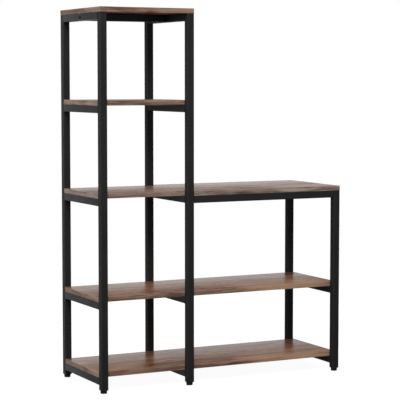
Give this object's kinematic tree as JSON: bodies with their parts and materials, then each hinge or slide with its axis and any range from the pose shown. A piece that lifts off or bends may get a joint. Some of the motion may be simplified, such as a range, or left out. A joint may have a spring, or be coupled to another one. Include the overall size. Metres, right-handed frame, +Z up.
{
  "type": "l-shaped bookcase",
  "caption": "Open L-shaped bookcase: a tall shelf tower joined to a low wing, square steel tube frames carrying faced wood boards, on screw-in levelling feet.",
  "frame": {"origin": "middle of the floor area, on the floor under the foot pads", "axes": "+X towards the low wing, -Y out of the front, +Z up"},
  "size_m": [0.9446, 0.352, 1.3],
  "materials": {
    "frame_tube": "satin black powder coat",
    "faced_board": "rustic brown wood-grain facing, satin",
    "black_screw": "black oxide steel",
    "zinc_steel": "bright zinc plate",
    "foot_nylon": "moulded black nylon"
  },
  "bodies": {
    "frame": {"post_left_front": "frame_tube", "post_left_rear": "frame_tube", "post_middle_front": "frame_tube", "post_middle_rear": "frame_tube", "post_right_front": "frame_tube", "post_right_rear": "frame_tube", "rail_left_bottom": "frame_tube", "rail_left_lower": "frame_tube", "rail_left_middle": "frame_tube", "rail_left_upper": "frame_tube", "rail_left_top": "frame_tube", "rail_middle_bottom": "frame_tube", "rail_middle_lower": "frame_tube", "rail_middle_middle": "frame_tube", "rail_middle_upper": "frame_tube", "rail_middle_top": "frame_tube", "rail_right_bottom": "frame_tube", "rail_right_lower": "frame_tube", "rail_right_middle": "frame_tube", "low_top_front_rail": "frame_tube", "low_top_rear_rail": "frame_tube", "tower_top_centre_bar": "frame_tube", "tower_top_board": "faced_board", "upper_shelf": "faced_board", "middle_shelf": "faced_board", "low_top_board": "faced_board", "lower_shelf": "faced_board", "bottom_shelf": "faced_board", "tower_top_board_screws": "black_screw", "upper_shelf_screws": "black_screw", "middle_shelf_screws": "black_screw", "low_top_board_screws": "black_screw", "lower_shelf_screws": "black_screw", "bottom_shelf_screws": "black_screw", "rail_bolts": "black_screw", "rail_end_nuts": "zinc_steel", "foot_plug_left_front": "foot_nylon", "foot_plug_left_rear": "foot_nylon", "foot_plug_middle_front": "foot_nylon", "foot_plug_middle_rear": "foot_nylon", "foot_plug_right_front": "foot_nylon", "foot_plug_right_rear": "foot_nylon"},
    "foot_stud_left_front": {"foot_stud_left_front": "zinc_steel"},
    "foot_pad_left_front": {"foot_pad_left_front": "foot_nylon"},
    "foot_stud_left_rear": {"foot_stud_left_rear": "zinc_steel"},
    "foot_pad_left_rear": {"foot_pad_left_rear": "foot_nylon"},
    "foot_stud_middle_front": {"foot_stud_middle_front": "zinc_steel"},
    "foot_pad_middle_front": {"foot_pad_middle_front": "foot_nylon"},
    "foot_stud_middle_rear": {"foot_stud_middle_rear": "zinc_steel"},
    "foot_pad_middle_rear": {"foot_pad_middle_rear": "foot_nylon"},
    "foot_stud_right_front": {"foot_stud_right_front": "zinc_steel"},
    "foot_pad_right_front": {"foot_pad_right_front": "foot_nylon"},
    "foot_stud_right_rear": {"foot_stud_right_rear": "zinc_steel"},
    "foot_pad_right_rear": {"foot_pad_right_rear": "foot_nylon"}
  },
  "joints": [
    {"name": "foot_travel_left_front", "type": "slide", "parent": "frame", "child": "foot_stud_left_front", "axis": [0, 0, -1], "range_m": [0, 0.01]},
    {"name": "foot_turn_left_front", "type": "hinge", "parent": "foot_stud_left_front", "child": "foot_pad_left_front", "pos_m": [-0.4565, -0.1635, 0], "axis": [0, 0, -1], "range_deg": [0, 2880]},
    {"name": "foot_travel_left_rear", "type": "slide", "parent": "frame", "child": "foot_stud_left_rear", "axis": [0, 0, -1], "range_m": [0, 0.01]},
    {"name": "foot_turn_left_rear", "type": "hinge", "parent": "foot_stud_left_rear", "child": "foot_pad_left_rear", "pos_m": [-0.4565, 0.1635, 0], "axis": [0, 0, -1], "range_deg": [0, 2880]},
    {"name": "foot_travel_middle_front", "type": "slide", "parent": "frame", "child": "foot_stud_middle_front", "axis": [0, 0, -1], "range_m": [0, 0.01]},
    {"name": "foot_turn_middle_front", "type": "hinge", "parent": "foot_stud_middle_front", "child": "foot_pad_middle_front", "pos_m": [-0.1325, -0.1635, 0], "axis": [0, 0, -1], "range_deg": [0, 2880]},
    {"name": "foot_travel_middle_rear", "type": "slide", "parent": "frame", "child": "foot_stud_middle_rear", "axis": [0, 0, -1], "range_m": [0, 0.01]},
    {"name": "foot_turn_middle_rear", "type": "hinge", "parent": "foot_stud_middle_rear", "child": "foot_pad_middle_rear", "pos_m": [-0.1325, 0.1635, 0], "axis": [0, 0, -1], "range_deg": [0, 2880]},
    {"name": "foot_travel_right_front", "type": "slide", "parent": "frame", "child": "foot_stud_right_front", "axis": [0, 0, -1], "range_m": [0, 0.01]},
    {"name": "foot_turn_right_front", "type": "hinge", "parent": "foot_stud_right_front", "child": "foot_pad_right_front", "pos_m": [0.4565, -0.1635, 0], "axis": [0, 0, -1], "range_deg": [0, 2880]},
    {"name": "foot_travel_right_rear", "type": "slide", "parent": "frame", "child": "foot_stud_right_rear", "axis": [0, 0, -1], "range_m": [0, 0.01]},
    {"name": "foot_turn_right_rear", "type": "hinge", "parent": "foot_stud_right_rear", "child": "foot_pad_right_rear", "pos_m": [0.4565, 0.1635, 0], "axis": [0, 0, -1], "range_deg": [0, 2880]}
  ],
  "couplings": [
    {"joint": "foot_travel_left_front", "follows": "foot_turn_left_front", "m_per_rad": 0.00019894},
    {"joint": "foot_travel_left_rear", "follows": "foot_turn_left_rear", "m_per_rad": 0.00019894},
    {"joint": "foot_travel_middle_front", "follows": "foot_turn_middle_front", "m_per_rad": 0.00019894},
    {"joint": "foot_travel_middle_rear", "follows": "foot_turn_middle_rear", "m_per_rad": 0.00019894},
    {"joint": "foot_travel_right_front", "follows": "foot_turn_right_front", "m_per_rad": 0.00019894},
    {"joint": "foot_travel_right_rear", "follows": "foot_turn_right_rear", "m_per_rad": 0.00019894}
  ]
}
